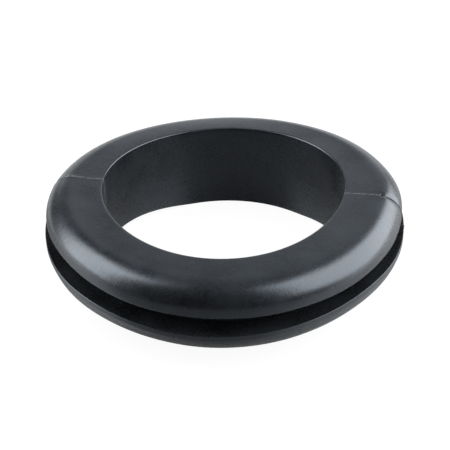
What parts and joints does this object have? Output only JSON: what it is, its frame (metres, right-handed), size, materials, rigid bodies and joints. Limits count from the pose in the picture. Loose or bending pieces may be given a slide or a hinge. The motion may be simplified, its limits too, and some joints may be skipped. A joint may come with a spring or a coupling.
{
  "type": "rubber cable grommet",
  "caption": "Round rubber grommet with a wide bore, a panel groove, a rounded face flange and a tapered lead-in flange.",
  "frame": {"origin": "centre of the foot ring that the grommet stands on", "axes": "+Z along the bore, from the tapered lead-in flange towards the rounded face flange; the mould's parting line lies near +X and -X"},
  "size_m": [0.0584, 0.0584, 0.0152],
  "materials": {
    "rubber": "satin charcoal moulded rubber"
  },
  "bodies": {
    "root": {"grommet": "rubber"}
  },
  "joints": []
}
